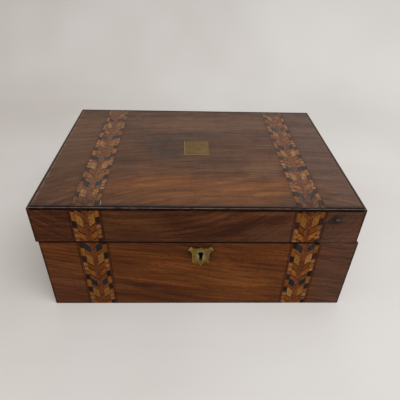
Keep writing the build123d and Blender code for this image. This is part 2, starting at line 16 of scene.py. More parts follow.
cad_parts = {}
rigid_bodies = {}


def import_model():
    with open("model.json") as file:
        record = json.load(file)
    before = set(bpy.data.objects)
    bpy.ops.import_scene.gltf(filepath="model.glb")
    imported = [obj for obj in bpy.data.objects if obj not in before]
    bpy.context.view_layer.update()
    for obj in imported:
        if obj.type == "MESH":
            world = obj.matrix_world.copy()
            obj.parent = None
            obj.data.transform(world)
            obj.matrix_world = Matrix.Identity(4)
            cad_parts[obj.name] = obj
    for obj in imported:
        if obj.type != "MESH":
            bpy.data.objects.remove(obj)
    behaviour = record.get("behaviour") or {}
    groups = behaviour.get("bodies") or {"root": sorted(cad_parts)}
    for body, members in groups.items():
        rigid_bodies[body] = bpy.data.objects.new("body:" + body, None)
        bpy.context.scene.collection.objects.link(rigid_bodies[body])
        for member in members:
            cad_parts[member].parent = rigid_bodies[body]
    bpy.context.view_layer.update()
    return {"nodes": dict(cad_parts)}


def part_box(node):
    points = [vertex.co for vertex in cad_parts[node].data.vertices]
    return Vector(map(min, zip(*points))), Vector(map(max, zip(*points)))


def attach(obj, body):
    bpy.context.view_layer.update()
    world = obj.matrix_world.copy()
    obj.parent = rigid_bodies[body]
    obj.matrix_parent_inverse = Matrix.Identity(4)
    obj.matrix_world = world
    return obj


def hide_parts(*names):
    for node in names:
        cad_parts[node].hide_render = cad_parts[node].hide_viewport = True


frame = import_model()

MM = 0.001
chance = random.Random(1860)

# %% [markdown]
# The camera comes first, because it decides how much detail each surface needs. It was fitted to the eight
# corners of the box in the photograph. It stands a little left of the middle, tipped down by 36 degrees.
# %% Camera
camera_place = Vector((-0.0142, -0.4349, 0.3819))
tip, turn, roll = math.radians(-35.888), math.radians(-2.266), math.radians(-1.751)
camera_data = bpy.data.cameras.new("photo_camera")
camera_data.lens = 34.26
camera_data.sensor_width = 36.0
camera = bpy.data.objects.new("photo_camera", camera_data)
bpy.context.scene.collection.objects.link(camera)
look = Matrix.Rotation(turn, 4, "Z") @ Matrix.Rotation(tip, 4, "X") @ Matrix.Rotation(roll, 4, "Y")
camera.matrix_world = Matrix.Translation(camera_place) @ look @ Matrix.Rotation(math.pi / 2, 4, "X")
bpy.context.scene.camera = camera
print("camera at", [round(v, 3) for v in camera_place])

# %% [markdown]
# Modelling by hand in Blender is a habit of three steps: select one piece alone, choose some of its parts,
# and run an operator on them. These helpers do the first two steps. Operators act on all that is selected,
# so each helper starts by deselecting everything.
# %% Helpers for selecting


def deselect():
    if bpy.context.object and bpy.context.object.mode != "OBJECT":
        bpy.ops.object.mode_set(mode="OBJECT")
    bpy.ops.object.select_all(action="DESELECT")


def take(*pieces):
    """Select these pieces alone, in object mode."""
    deselect()
    for piece in pieces:
        piece.select_set(True)
    bpy.context.view_layer.objects.active = pieces[0]


def settle(piece):
    """Put the object's place into its mesh, so that the object itself sits at the origin."""
    take(piece)
    bpy.ops.object.transform_apply(location=True, rotation=True, scale=True)
    return piece


def start_piece(name, primitive, **settings):
    deselect()
    primitive(**settings)
    piece = bpy.context.object
    piece.name = piece.data.name = name
    return settle(piece)


def choose(piece, kind, test):
    """In edit mode, select the verts, edges or faces whose middle passes the test."""
    if bpy.context.object is not piece or piece.mode != "EDIT":
        take(piece)
        bpy.ops.object.mode_set(mode="EDIT")
    bpy.ops.mesh.select_mode(type={"verts": "VERT", "edges": "EDGE", "faces": "FACE"}[kind])
    bpy.ops.mesh.select_all(action="DESELECT")
    shape = bmesh.from_edit_mesh(piece.data)
    for part in getattr(shape, kind):
        if kind == "verts":
            part.select = bool(test(part.co))
        elif kind == "edges":
            part.select = bool(test((part.verts[0].co + part.verts[1].co) / 2))
        else:
            part.select = bool(test(part.calc_center_median(), part.normal))
    shape.select_flush_mode()
    bmesh.update_edit_mesh(piece.data)


def everything(piece):
    choose(piece, "verts", lambda point: True)


def copy_piece(piece, place):
    twin = piece.copy()
    twin.data = piece.data.copy()
    bpy.context.scene.collection.objects.link(twin)
    twin.location = place
    return twin


print("helpers ready")

# %% [markdown]
# Materials are built from nodes too. `add` makes one node, in the same tree as whatever feeds it, so a recipe
# reads from top to bottom like a list of steps, and `finish_material` joins its results to a shader. Every
# pattern starts from Object coordinates: the pieces sit at the origin, so a stain or a growth ring can be
# placed by its real position on the box.
# %% Helpers for materials


def start_material(name):
    """An empty material, and the place on the piece, where all its patterns start."""
    material = bpy.data.materials.new(name)
    material.use_nodes = True
    nodes = material.node_tree.nodes
    nodes.clear()
    return material, nodes.new("ShaderNodeTexCoord").outputs["Object"]


def add(kind, inputs, **settings):
    """inputs: what each socket gets, a value or the output of another node."""
    fed = {key: value for key, value in inputs.items() if isinstance(value, bpy.types.NodeSocket)}
    tree = next(iter(fed.values())).id_data
    node = tree.nodes.new("ShaderNode" + kind)
    for key, value in settings.items():
        setattr(node, key, value)
    for key, value in inputs.items():
        if key in fed:
            tree.links.new(value, node.inputs[key])
        else:
            node.inputs[key].default_value = value
    return node.outputs[0]


def finish_material(material, looks):
    output = material.node_tree.nodes.new("ShaderNodeOutputMaterial")
    material.node_tree.links.new(add("BsdfPrincipled", looks), output.inputs[0])
    return material


def calculate(operation, *values):
    return add("Math", dict(enumerate(values)), operation=operation)


def noise(coords, scale, detail=4.0, roughness=0.55):
    inputs = {"Vector": coords, "Scale": scale, "Detail": detail, "Roughness": roughness}
    return add("TexNoise", inputs)


def stretched(coords, scale):
    return add("Mapping", {"Vector": coords, "Scale": scale})


def ramp(value, stops):
    node = add("ValToRGB", {0: value}).node
    points = node.color_ramp.elements
    while len(points) < len(stops):
        points.new(0.5)
    for point, (position, colour) in zip(points, stops):
        point.position = position
        point.color = (*colour, 1.0)
    return node.outputs[0]


def mixed(share, first, second, blend="MIX"):
    """The Mix node has sockets for each kind of value. Those for colours are inputs 6 and 7 and output 2."""
    inputs = {0: share, 6: first, 7: second}
    for key in (6, 7):
        if not isinstance(inputs[key], bpy.types.NodeSocket):
            inputs[key] = (*inputs[key], 1.0)
    return add("Mix", inputs, data_type="RGBA", blend_type=blend).node.outputs[2]


def grey(value):
    return (value, value, value)


def darker(tone, share):
    return tuple(share * value for value in tone)


def span(value, low, high, bottom=0.0, top=1.0):
    inputs = {"Value": value, "From Min": low, "From Max": high, "To Min": bottom, "To Max": top}
    return add("MapRange", inputs, interpolation_type="SMOOTHSTEP")


def bumps(height, strength, distance):
    return add("Bump", {"Height": height, "Strength": strength, "Distance": distance})


print("material helpers ready")

# %% [markdown]
# Age shows as marks: a stain, a faded zone, dirt along an edge, a line rubbed bare. The same marks also lay
# painted sheen, painted highlights and painted shade. Two shapes draw them all.
# A patch is a stretched ball with an uneven border, and nearness tells how close a plane is. Both give a
# number from 0 to 1, and that share of the mark's colour is laid over the wood.
# %% Marks of age
flat = 10.0  # a radius so long that a patch reaches right through a board


def patch(coords, centre, radii, turned=(0.0, 0.0, 0.0), ragged=0.35, scale=45.0):
    """A soft patch with an uneven border: 1 in its middle and 0 outside."""
    inputs = {"Vector": coords, "Location": centre, "Rotation": turned, "Scale": radii}
    local = add("Mapping", inputs, vector_type="TEXTURE")
    far = add("VectorMath", {0: local}, operation="LENGTH").node.outputs["Value"]
    reach = calculate("MULTIPLY_ADD", noise(coords, scale), 2 * ragged, far)
    return span(reach, 1.0 + ragged, 0.3 + ragged)


def nearness(coords, point, normal, near, far, ragged=0.0):
    """1 close to a plane, such as a sawn edge, and 0 away from it. ragged breaks the border up."""
    to_point = add("VectorMath", {0: coords, 1: point}, operation="SUBTRACT")
    inputs = {0: to_point, 1: normal}
    ahead = add("VectorMath", inputs, operation="DOT_PRODUCT").node.outputs["Value"]
    away = calculate("ABSOLUTE", ahead)
    if ragged:
        away = calculate("MULTIPLY_ADD", noise(coords, 120.0, 4.0, 0.65), ragged, away)
    return span(away, far + ragged / 2, near + ragged / 2)


def tinted(colour, mask, strength, tint):
    return mixed(calculate("MULTIPLY", mask, strength), colour, tint)


def marked(coords, colour, marks):
    """marks: (colour, strength, settings of patch or nearness), laid one over the other."""
    for tint, strength, settings in marks:
        shape = patch if "centre" in settings else nearness
        colour = tinted(colour, shape(coords, **settings), strength, tint)
    return colour


print("marks ready")

# %% [markdown]
# Old walnut veneer has three scales of detail. Fibres run along the board and are a fraction of a millimetre
# wide. Pores are short dark dashes among them. The growth figure bends the fibres in slow curves, and it is
# what the eye sees first from a distance. A picture of wood would do for one view, but noise that is
# stretched along the grain holds up from any distance, so the recipe below builds all three from noise.
# %% A recipe for wood


def arched(coords, along, centre, squash):
    """Grain that bends round a centre, as where a board was sawn through a cone of growth rings. The pattern
    is noise laid out by the distance from the centre and by the angle round it."""
    inputs = {"Vector": coords, "Location": centre, "Scale": squash}
    local = add("Mapping", inputs, vector_type="TEXTURE")
    axes = add("SeparateXYZ", {0: local}).node.outputs
    across = [axis for axis, size in zip("XYZ", squash) if axis != along and size != flat][0]
    angle = calculate("ARCTAN2", axes[along], axes[across])
    distance = add("VectorMath", {0: local}, operation="LENGTH").node.outputs["Value"]
    turned_out = add("CombineXYZ", {0: distance, 1: angle})
    return noise(stretched(turned_out, (260.0, 3.0, 1.0)), 1.0, 5.0, 0.66)


def wood(name, tones, along, lean=0.0, arcs=None, marks=(), gloss=0.42, shine=0.25, sway=0.007, bold=0.5):
    """tones: dark, middle, light. along: the grain's axis. lean: how far the grain runs off it. arcs: centre,
    squash and share of a bent grain. gloss: roughness. shine: strength of the reflections. sway: how far the
    grain wanders from a straight line, in metres. bold: how clearly the fine lines show over the marks."""
    material, coords = start_material(name)
    drift = noise(coords, 6.0, 1.0)
    inputs = {0: drift, 1: (sway, sway, sway), 2: coords}
    wavy = add("VectorMath", inputs, operation="MULTIPLY_ADD")
    turn_about = {"X": (0.0, lean, 0.0), "Y": (lean, 0.0, 0.0), "Z": (0.0, 0.0, lean)}[along]
    laid = add("VectorRotate", {"Vector": wavy, "Rotation": turn_about}, rotation_type="EULER_XYZ")
    slow_way = "XYZ".index(along)

    def grain_noise(with_grain, across, detail, roughness):
        scale = [across] * 3
        scale[slow_way] = with_grain
        return noise(stretched(laid, scale), 1.0, detail, roughness)

    fibres = grain_noise(13.0, 640.0, 5.0, 0.65)
    streaks = grain_noise(5.0, 95.0, 4.0, 0.6)
    grain = mixed(0.52, streaks, fibres)
    lines = grain_noise(14.0, 330.0, 4.0, 0.7)
    if arcs:
        centre, squash, share = arcs
        bent = arched(wavy, along, centre, squash)
        grain, lines = mixed(share, grain, bent), mixed(share, lines, bent)
    spread = 0.07 if arcs else 0.12
    colour = ramp(grain, [(0.5 - spread, tones[0]), (0.5, tones[1]), (0.5 + spread, tones[2])])
    cloud = span(grain_noise(9.0, 26.0, 4.0, 0.6), 0.35, 0.7)
    colour = tinted(colour, cloud, 0.5, tones[0])
    mottle = span(noise(coords, 380.0, 4.0, 0.75), 0.42, 0.68)
    colour = tinted(colour, mottle, 0.4, darker(tones[0], 0.7))
    colour = marked(coords, colour, marks)
    lines = ramp(lines, [(0.5 - 1.3 * spread, grey(0.28)), (0.5 + 1.3 * spread, grey(0.72))])
    colour = mixed(bold, colour, lines, "OVERLAY")
    pores = span(grain_noise(85.0, 1500.0, 2.0, 0.4), 0.60, 0.72)
    colour = tinted(colour, pores, 0.5, darker(tones[0], 0.3))
    specks = span(noise(coords, 330.0, 2.0, 0.5), 0.62, 0.70)
    colour = tinted(colour, specks, 0.45, darker(tones[0], 0.4))
    rough = span(noise(coords, 60.0, 5.0, 0.7), 0.3, 0.75, gloss - 0.07, gloss + 0.12)
    relief = bumps(fibres, 0.16, 0.0003)
    looks = {"Base Color": colour, "Roughness": rough, "Normal": relief, "Specular IOR Level": shine}
    return finish_material(material, looks)


print("wood recipe ready")

# %% [markdown]
# Some marks are the same on every face: dirt and painted shade in the saw cut, dirt along the corners, and a
# thin dark line on each side of the bands. The saw cut rises from the hinge pins by 27.5 mm over the 252.4 mm
# to the front.
# The lid has crept to the left, so its bands and corners have places of their own.
# %% Places on the case
top_z, front_y = 0.147, -0.126
pin = Vector((0.0, 0.1264, 0.0735))
slope = math.atan2(27.5, 252.4)
upwards = Vector((0.0, math.sin(slope), math.cos(slope)))
base_xs, lid_xs = (-0.117, 0.117), (-0.1197, 0.1143)
base_corners, lid_corners = (-0.175, 0.175), (-0.1777, 0.1723)
keyhole_x, keyhole_z = 0.8, 84.6  # in millimetres, as on_front takes them
line_from_middle = 0.0166
# The dark colour of dirt and of the lines beside the bands. It also paints shade into the saw cut and the
# keyhole.
dark_dirt_and_shade = (0.004, 0.002, 0.0015)
# The saw cut is darkened on every face: dirt, and painted shade in the gap between lid and base.
saw_cut = {"point": pin, "normal": upwards, "near": 0.0007, "far": 0.0016, "ragged": 0.0003}


def plane_at(axis, place, near, far, ragged=0.0):
    """What nearness needs for a plane that crosses one axis at a place."""
    normal = Vector([float(letter == axis) for letter in "XYZ"])
    return {"point": normal * place, "normal": normal, "near": near, "far": far, "ragged": ragged}


def corner_dirt(xs):
    return [(dark_dirt_and_shade, 0.65, plane_at("X", x, 0.0008, 0.0034, 0.0016)) for x in xs]


def stringing(xs, strength=0.7):
    """A thin dark line beside each long side of the bands."""
    places = [x + side * line_from_middle for x in xs for side in (-1, 1)]
    return [(dark_dirt_and_shade, strength, plane_at("X", x, 0.0003, 0.0010, 0.0004)) for x in places]


def on_top(x, y, wide, long, scale=45.0, turned=0.0, ragged=0.35):
    """A patch on the lid's top, with its place and its radii in millimetres."""
    place = {"centre": (x * MM, y * MM, top_z), "radii": (wide * MM, long * MM, flat)}
    return {**place, "turned": (0.0, 0.0, turned), "scale": scale, "ragged": ragged}


def on_front(x, z, wide, high, turned=0.0, scale=45.0):
    """A patch on the front, with its place and its radii in millimetres."""
    place = {"centre": (x * MM, front_y, z * MM), "radii": (wide * MM, flat, high * MM)}
    return {**place, "turned": (0.0, turned, 0.0), "scale": scale}


print("the saw cut slopes by", round(math.degrees(slope), 2), "degrees")

# %% [markdown]
# The top has faded to a grey-brown, with a warm zone toward the front where hands rubbed it, and an ink stain
# beside the plate. A greyer strip along its right end is a painted sheen. Light and dark lines of figure run
# through the warm zone. Every row is one mark: a colour, its strength, and its place and size on the board.
# Later rows lie over earlier ones.
# %% Walnut of the top
top_tones = ((0.056, 0.023, 0.011), (0.093, 0.039, 0.018), (0.126, 0.056, 0.028))
warm_tone = (0.170, 0.058, 0.012)
tan_tone = (0.120, 0.060, 0.030)
grey_sheen_tone = (0.106, 0.058, 0.042)
stain_tone = (0.022, 0.013, 0.012)
ink_tone = (0.043, 0.025, 0.018)
light_figure, dark_figure = (0.230, 0.090, 0.024), (0.066, 0.026, 0.011)
light_lines = [
    (62, -86, 50, 0.22), (76, -98, 34, 0.14), (36, -73, 36, 0.32),
    (-52, -83, 34, 0.08), (-20, -100, 44, 0.10)
]
dark_lines = [
    (66, -93, 50, 0.18), (30, -64, 44, 0.34), (-40, -94, 50, 0.06),
    (-35, -109, 7, 1.0), (20, -84, 40, 0.24), (30, -112, 30, 0.04)
]
paler_left_end_tone = (0.210, 0.155, 0.125)
top_marks = [
    ((0.140, 0.070, 0.038), 0.5, on_top(0, 72, 125, 36)),
    ((0.150, 0.078, 0.044), 0.4, on_top(76, 80, 40, 26)),
    # A greyer strip along the right end: painted sheen.
    (grey_sheen_tone, 0.6, on_top(165, 10, 60, 200)),
    (tan_tone, 0.45, on_top(-165, 20, 60, 110)),
    ((0.160, 0.076, 0.035), 0.5, on_top(74, -45, 34, 22, 60.0, 0.3)),
    ((0.050, 0.029, 0.023), 0.5, on_top(166, 118, 34, 17)),
    (warm_tone, 0.55, on_top(0, -94, 165, 56, 30.0, 0.0, 0.5)),
    (warm_tone, 0.35, on_top(-45, -77, 55, 20, 60.0, 0.12)),
    (warm_tone, 0.60, on_top(68, -90, 50, 24, 60.0, 0.2)),
    *[(light_figure, 0.36, on_top(x, y, wide, 5, 90.0, tilt, 0.7)) for x, y, wide, tilt in light_lines],
    *[(dark_figure, 0.36, on_top(x, y, wide, 4, 90.0, tilt, 0.7)) for x, y, wide, tilt in dark_lines],
    (ink_tone, 0.80, on_top(-54, 14, 24, 26, 180.0, 0.0, 0.8)),
    (ink_tone, 0.85, on_top(-36, -8, 24, 20, 180.0, 0.0, 0.8)),
    (ink_tone, 0.70, on_top(-44, 26, 36, 12, 180.0, 0.0, 0.8)),
    (ink_tone, 0.75, on_top(-10, 41, 72, 12, 110.0, 0.0, 0.6)),
    *stringing(lid_xs, 0.2),
    # Lighter along the top's left end.
    (paler_left_end_tone, 0.4, plane_at("X", -0.1745, 0.0, 0.0030, 0.0100)),
    ((0.42, 0.35, 0.30), 0.85, on_top(-104.5, -116.5, 1.1, 8.5, 300.0, 0.12, 0.2)),
    (stain_tone, 0.75, plane_at("Y", -0.1235, 0.001, 0.009, 0.008)),
    (dark_dirt_and_shade, 0.8, plane_at("Y", -0.1235, 0.0012, 0.0030, 0.001)),
    (stain_tone, 0.55, plane_at("Y", 0.1235, 0.001, 0.007, 0.006)),
]
top_arcs = ((0.060, -0.165, top_z), (2.1, 1.0, flat), 0.55)
top_walnut = wood("walnut_of_the_top", top_tones, "X", arcs=top_arcs, marks=top_marks, gloss=0.40, sway=0.006)
print("finish:", top_walnut.name, "with", len(top_marks), "marks")

# %% [markdown]
# The fronts kept a deeper red-brown. The lid's front has a bent figure, and the base's front has straight
# grain that falls to the right. Dark streaks run with the grain of each, and the right end of both is painted
# paler and greyer: a painted sheen.
# %% Walnut of the fronts
dark_streak = (0.034, 0.0105, 0.0045)
# A painted sheen: the right ends of the fronts, and the right end of the saw cut, are painted paler and
# greyer.
right_end_sheen_tone = (0.080, 0.035, 0.022)
sheen_over_end_of_cut = (right_end_sheen_tone, 0.85, on_front(158, 101.2, 50, 12))


def streaks(rows):
    """rows: a streak's strength, and then what on_front takes."""
    return [(dark_streak, strength, on_front(*place)) for strength, *place in rows]


lid_front_tones = ((0.044, 0.0125, 0.0042), (0.072, 0.0220, 0.0068), (0.104, 0.0355, 0.0115))
lid_front_marks = [
    ((0.105, 0.037, 0.0125), 0.6, on_front(-72, 122, 50, 30)),
    *streaks([
        (0.55, 60, 130, 55, 13, -0.40),
        (0.35, 12, 117, 50, 14, -0.25),
        (0.40, -70, 136, 55, 5),
        (0.50, -68, 112, 36, 14),
        (0.40, 45, 122, 42, 4, -0.42),
        (0.40, 74, 126, 32, 3.5, -0.45),
        (0.30, 20, 112, 36, 3.5, -0.30),
    ]),
    (stain_tone, 0.40, on_front(158, 141, 30, 8)),
    ((0.125, 0.048, 0.020), 0.5, on_front(78, 141, 36, 5)),
    ((0.105, 0.042, 0.020), 0.6, on_front(88, 110, 55, 28, -0.2)),
    # painted sheen at the right end
    (right_end_sheen_tone, 0.75, on_front(162, 120, 50, 80)),
    ((0.120, 0.052, 0.029), 0.5, on_front(158, 113, 30, 13)),
    (stain_tone, 0.95, on_front(141.8, 132.8, 11.5, 9, 0.0, 160.0)),
    *stringing(lid_xs),
    *corner_dirt(lid_corners),
    # dirt and painted shade in the saw cut
    (dark_dirt_and_shade, 0.95, saw_cut),
    sheen_over_end_of_cut,
]
lid_front_arcs = ((-0.050, front_y, 0.300), (1.0, flat, -1.0), 0.45)
lid_front_walnut = wood(
    "walnut_of_the_lid_front", lid_front_tones, "X", lean=0.03, arcs=lid_front_arcs, marks=lid_front_marks,
    gloss=0.40, shine=0.06, sway=0.012
)
front_tones = ((0.072, 0.018, 0.0036), (0.112, 0.032, 0.0060), (0.156, 0.050, 0.0100))
bright_tone = (0.170, 0.055, 0.011)
base_front_marks = [
    *streaks([
        (0.55, -80, 36, 40, 6, 0.35),
        (0.55, -30, 18, 60, 7, 0.28),
        (0.50, -155, 30, 28, 7, 0.30),
        (0.35, 60, 30, 50, 4, 0.20),
        (0.45, -45, 92, 60, 10, 0.05),
    ]),
    ((0.160, 0.050, 0.011), 0.40, on_front(-30, 64, 50, 14)),
    ((0.150, 0.047, 0.011), 0.45, on_front(45, 12, 60, 14)),
    (dark_streak, 0.30, on_front(-60, 10, 80, 18)),
    ((0.078, 0.026, 0.011), 0.6, on_front(-162, 34, 45, 45)),
    (bright_tone, 0.65, on_front(40, 42, 55, 34, 0.20)),
    # painted sheen at the right end
    (right_end_sheen_tone, 0.85, on_front(168, 50, 55, 160)),
    # A dark halo round the escutcheon: dirt and painted shade at its edge.
    ((0.016, 0.006, 0.003), 0.8, on_front(keyhole_x, keyhole_z, 20.5, 19.5, 0.0, 220.0)),
    *stringing(base_xs),
    *corner_dirt(base_corners),
    # dirt and painted shade in the saw cut
    (dark_dirt_and_shade, 0.95, saw_cut),
    (dark_dirt_and_shade, 0.75, plane_at("Z", 0.0, 0.0005, 0.0018, 0.0010)),
    sheen_over_end_of_cut,
]
base_front_walnut = wood(
    "walnut_of_the_base_front", front_tones, "X", lean=-0.14, marks=base_front_marks, gloss=0.40, shine=0.06,
    sway=0.014, bold=1.0
)
print("finishes:", lid_front_walnut.name, base_front_walnut.name)

# %% [markdown]
# The sides and the back show the same veneer with its grain turned to run along each wall. The photograph
# does not show them, so they carry only what such a box has there: dirt and painted shade in the saw cut, and
# a worn foot.
# %% Walnut of the sides, back and rims
bare_wood = (0.23, 0.12, 0.055)
plain_edges = [(dark_dirt_and_shade, 0.95, saw_cut), (bare_wood, 0.8, plane_at("Z", 0.0, 0.0002, 0.0022, 0.003))]
side_arcs = ((0.0, 0.02, -0.12), (flat, 2.2, 1.0), 0.5)
back_arcs = ((0.03, 0.0, -0.12), (2.6, flat, 1.0), 0.5)
plain = {"marks": plain_edges, "shine": 0.2}
side_walnut = wood("walnut_of_the_sides", front_tones, "Y", lean=0.05, arcs=side_arcs, gloss=0.40, **plain)
back_walnut = wood("walnut_of_the_back", front_tones, "X", lean=0.03, arcs=back_arcs, **plain)
rim_walnut = wood("walnut_of_the_rims", lid_front_tones, "X", gloss=0.36, shine=0.3)
print("plain walnut:", side_walnut.name, back_walnut.name, rim_walnut.name)

# %% [markdown]
# The wood inside a box like this is plainer. The case is a quiet brown board under the veneer, and the
# flaps, rails, dividers and pen tray are mahogany, redder and finer. The same recipe makes both.
# %% Woods of the inside
case_tones = ((0.10, 0.050, 0.024), (0.17, 0.088, 0.042), (0.23, 0.130, 0.066))
# Painted shade: the case board is painted dark inside the keyhole.
in_keyhole = {"centre": (keyhole_x * MM, -0.118, 0.081), "radii": (0.008, 0.020, 0.012)}
case_x = wood("case_wood_along_the_front", case_tones, "X", marks=[(dark_dirt_and_shade, 1.0, in_keyhole)], gloss=0.55)
case_y = wood("case_wood_along_the_sides", case_tones, "Y", gloss=0.55)
mahogany_tones = ((0.085, 0.022, 0.009), (0.135, 0.040, 0.016), (0.185, 0.062, 0.025))
polish = {"gloss": 0.36, "shine": 0.35}
mahogany_x = wood("mahogany_along_the_front", mahogany_tones, "X", lean=0.02, **polish)
mahogany_y = wood("mahogany_along_the_sides", mahogany_tones, "Y", lean=0.02, **polish)
mahogany_z = wood("mahogany_upright", mahogany_tones, "Z", **polish)
print("inside woods:", case_x.name, mahogany_x.name)

# %% [markdown]
# The rounded bead round the lid's top edge is stained nearly black. Its varnish has rubbed through in small
# spots, so the brown under it shows: a noise decides where, and the rubbed spots are a little rougher. A thin
# broken pale line runs along each side of the round: varnish rubbed bare, and a painted highlight where the
# round catches the light, strongest along the front. A leaning plane that just touches the round picks out
# that line.
# %% Dark bead
bead_round = 0.0018
line_lean = math.radians(24)


def worn_and_lit_round(corner, outwards):
    lie = Vector((outwards[0] * math.sin(line_lean), outwards[1] * math.sin(line_lean), math.cos(line_lean)))
    depth = bead_round * (math.cos(line_lean) + math.sin(line_lean) - 1.0)
    settings = {"near": 0.0, "far": 0.000045, "ragged": 0.00012}
    return {"point": Vector(corner) - lie * depth, "normal": lie, **settings}


worn_and_highlight_tone = (0.190, 0.120, 0.090)
brown_stain = (0.058, 0.031, 0.021)
bead_marks = [
    *[(brown_stain, 0.8, plane_at("X", x, 0.0030, 0.0036)) for x in lid_corners],
    # Pale lines along the round: wear, and a painted highlight.
    (worn_and_highlight_tone, 0.85, worn_and_lit_round((0.0, front_y, top_z), (0, -1))),
    (worn_and_highlight_tone, 0.5, worn_and_lit_round((0.0, -front_y, top_z), (0, 1))),
    *[(worn_and_highlight_tone, 0.5, worn_and_lit_round((x, 0.0, top_z), (math.copysign(1, x), 0))) for x in lid_corners],
]


def dark_bead():
    material, coords = start_material("dark_stained_bead")
    uneven = noise(stretched(coords, (0.35, 0.35, 1.0)), 160.0, 6.0, 0.7)
    stops = [(0.45, (0.005, 0.0022, 0.0012)), (0.60, (0.013, 0.006, 0.0035)), (0.80, (0.10, 0.045, 0.022))]
    return finish_material(material, {
        "Base Color": marked(coords, ramp(uneven, stops), bead_marks),
        "Roughness": span(uneven, 0.4, 0.8, 0.38, 0.62),
        "Normal": bumps(uneven, 0.3, 0.0004),
        "Specular IOR Level": 0.05,
    })


bead_finish = dark_bead()
print("bead finish:", bead_finish.name)

# %% [markdown]
# The brass is old and has not been polished for years. Real brass is a metal, so its colour is the colour of
# its reflections. Tarnish dulls it in clouds: the noise darkens the colour and raises the roughness together,
# because the same film does both. The lock is filed steel, greyer and duller.
# %% Metals


def metal(name, bright, dull, low, high, scale, marks=()):
    """low, high: the roughness of the bright and of the dull metal. scale: how fine the clouds are."""
    material, coords = start_material(name)
    cloud = noise(coords, scale, 6.0, 0.65)
    colour = ramp(cloud, [(0.36, bright), (0.66, dull)])
    scratches = noise(stretched(coords, (900.0, 160.0, 900.0)), 1.0, 3.0)
    return finish_material(material, {
        "Base Color": marked(coords, colour, marks),
        "Roughness": span(cloud, 0.3, 0.7, low, high),
        "Normal": bumps(scratches, 0.12, 0.0001),
        "Metallic": 1.0,
    })


brass = metal("aged_brass", (0.30, 0.185, 0.050), (0.11, 0.062, 0.017), 0.30, 0.52, 160.0)
# Over the escutcheon's brass: a pale ring worn round the keyhole, painted highlights on its two tips, and
# painted shade that darkens the keyhole and its slot.
escutcheon_wear_highlights_and_shade = [
    ((0.38, 0.32, 0.18), 0.8, on_front(keyhole_x, 81.5, 6.8, 10.2, 0.0, 260.0)),
    *[((0.32, 0.24, 0.11), 0.7, on_front(x, 93, 4, 3.6, 0.0, 300.0)) for x in (-12, 13.6)],
    (dark_dirt_and_shade, 0.9, on_front(keyhole_x, keyhole_z, 4.6, 4.6, 0.0, 300.0)),
    (dark_dirt_and_shade, 0.9, on_front(keyhole_x, 79.7, 3, 7.2, 0.0, 300.0)),
]
lock_brass = metal(
    "brass_of_the_escutcheon", (0.25, 0.160, 0.036), (0.105, 0.062, 0.013), 0.30, 0.52, 200.0, escutcheon_wear_highlights_and_shade
)
along_edge = (0.0004, 0.0011, 0.0006)
# The plate's left and front edges are painted pale: painted highlights. Its back edge is painted darker.
plate_edge_highlight = (0.42, 0.33, 0.19)
plate_marks = [
    (plate_edge_highlight, 0.8, {**plane_at("X", -0.0193, *along_edge), "normal": (1, 0.014, 0)}),
    (plate_edge_highlight, 0.6, plane_at("Y", -0.0140, *along_edge)),
    ((0.06, 0.035, 0.014), 0.8, plane_at("Y", 0.0234, *along_edge)),
]
plate_brass = metal(
    "dull_plate_brass", (0.250, 0.158, 0.062), (0.205, 0.126, 0.048), 0.42, 0.56, 45.0, plate_marks
)
# Painted shade: the lock case is painted nearly black behind the keyhole.
inside_lock = [((0.004, 0.003, 0.003), 1.0, on_front(keyhole_x, 82, 12, 16, 0.0, 100.0))]
steel = metal("filed_steel", (0.20, 0.19, 0.18), (0.08, 0.075, 0.07), 0.42, 0.62, 120.0, inside_lock)
print("metals:", brass.name, plate_brass.name, steel.name)

# %% [markdown]
# The ink bottles are clear pressed glass with a green cast. Light has to pass through, so the shader's
# transmission is full, and its index of refraction is that of glass. The colour is nearly white, since thick
# glass darkens by itself.
# %% Glass


def bottle_glass():
    material, coords = start_material("pressed_glass")
    ripples = noise(coords, 70.0, 2.0)
    return finish_material(material, {
        "Base Color": (0.86, 0.94, 0.91, 1.0),
        "Transmission Weight": 1.0,
        "Roughness": 0.03,
        "IOR": 1.5,
        "Normal": bumps(ripples, 0.15, 0.0008),
    })


glass = bottle_glass()
print("glass:", glass.name)

# %% [markdown]
# The writing surfaces are skiver, a thin split sheepskin glued down flat and stained green, with a gilt line
# tooled round it. The grain of leather is a net of small cells, which a Voronoi texture draws well.
# %% Leather and gilding


def writing_leather():
    material, coords = start_material("green_skiver")
    cells = add("TexVoronoi", {"Vector": coords, "Scale": 900.0}, feature="DISTANCE_TO_EDGE")
    rubbed = noise(coords, 18.0, 6.0, 0.65)
    greens = [(0.32, (0.016, 0.042, 0.026)), (0.52, (0.030, 0.075, 0.045)), (0.74, (0.085, 0.120, 0.062))]
    return finish_material(material, {
        "Base Color": ramp(rubbed, greens),
        "Roughness": span(rubbed, 0.3, 0.8, 0.42, 0.68),
        "Normal": bumps(span(cells, 0.0, 0.12), 0.35, 0.00025),
    })


def gilt_line():
    material, coords = start_material("gilt_line")
    worn = noise(coords, 220.0, 5.0, 0.7)
    gold_to_bare = [(0.45, (0.62, 0.42, 0.13)), (0.66, (0.07, 0.085, 0.04))]
    looks = {"Base Color": ramp(worn, gold_to_bare), "Metallic": 0.85, "Roughness": 0.4}
    return finish_material(material, looks)


leather = writing_leather()
gilt = gilt_line()
print("leather:", leather.name, gilt.name)

